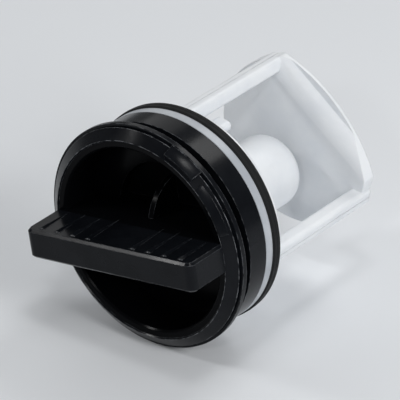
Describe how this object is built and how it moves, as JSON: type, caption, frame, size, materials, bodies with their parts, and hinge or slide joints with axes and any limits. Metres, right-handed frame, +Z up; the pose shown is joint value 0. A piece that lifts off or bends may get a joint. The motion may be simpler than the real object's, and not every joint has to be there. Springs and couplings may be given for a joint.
{
  "type": "washing machine pump filter",
  "caption": "Screw-out drain pump filter: round cap with a bar handle, a bayonet lug and a pad, rubber seal ring, and a swivelling cage insert with a blunt hub and an end plate.",
  "frame": {"origin": "on the filter's axis, at the middle of the seal ring", "axes": "+Y along the axis, from the handle to the end plate; +Z up; +X to the right of someone who faces the handle"},
  "size_m": [0.0632, 0.0754, 0.0632],
  "materials": {
    "black_plastic": "satin moulded",
    "white_plastic": "satin moulded",
    "seal_rubber": "matte"
  },
  "bodies": {
    "insert": {"filter_insert": "white_plastic", "seal_ring": "seal_rubber"},
    "cap": {"cap": "black_plastic"}
  },
  "joints": [
    {"name": "cap_swivel", "type": "hinge", "parent": "insert", "child": "cap", "pos_m": [0, 0, 0], "axis": [0, 1, 0], "continuous": true}
  ]
}
